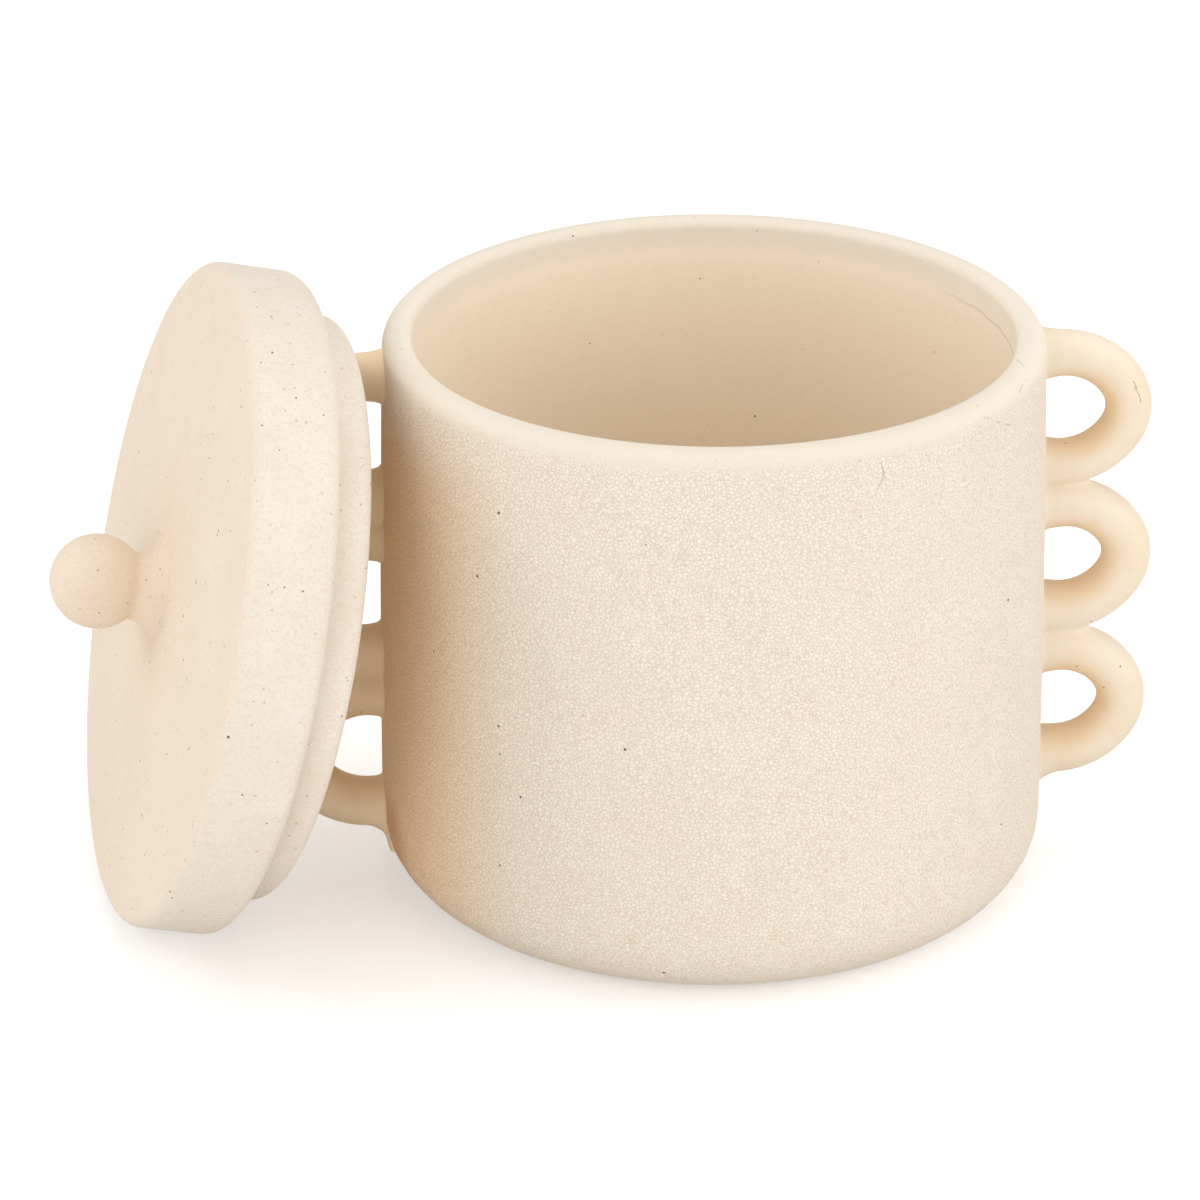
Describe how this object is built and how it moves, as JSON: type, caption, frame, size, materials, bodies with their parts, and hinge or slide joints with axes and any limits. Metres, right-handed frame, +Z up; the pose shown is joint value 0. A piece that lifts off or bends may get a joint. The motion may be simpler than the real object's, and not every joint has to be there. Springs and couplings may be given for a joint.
{
  "type": "lidded ceramic jar",
  "caption": "Round stoneware jar with coil loop handles on both sides and a thick knobbed lid that stands on its edge against one handle.",
  "frame": {"origin": "centre of the jar's flat base, on the surface it stands on", "axes": "+Z up along the jar's axis, handles along X with the leaning lid on the -X side, +Y to the back"},
  "size_m": [0.2871, 0.183, 0.1712],
  "materials": {
    "jar_stoneware": "matt crackled glaze, pinkish beige",
    "handle_stoneware": "smooth matt glaze, warm cream",
    "lid_stoneware": "smooth matt glaze with fine dark specks"
  },
  "bodies": {
    "jar": {"pot_body": "jar_stoneware", "left_upper_loop": "handle_stoneware", "left_middle_loop": "handle_stoneware", "left_lower_loop": "handle_stoneware", "right_upper_loop": "handle_stoneware", "right_middle_loop": "handle_stoneware", "right_lower_loop": "handle_stoneware"},
    "lid": {"lid_disc": "lid_stoneware", "lid_flange": "lid_stoneware", "lid_knob": "lid_stoneware"}
  },
  "joints": [
    {"name": "lid_lift", "type": "slide", "parent": "jar", "child": "lid", "axis": [0, 0, 1], "range_m": [0, 0.16]}
  ]
}
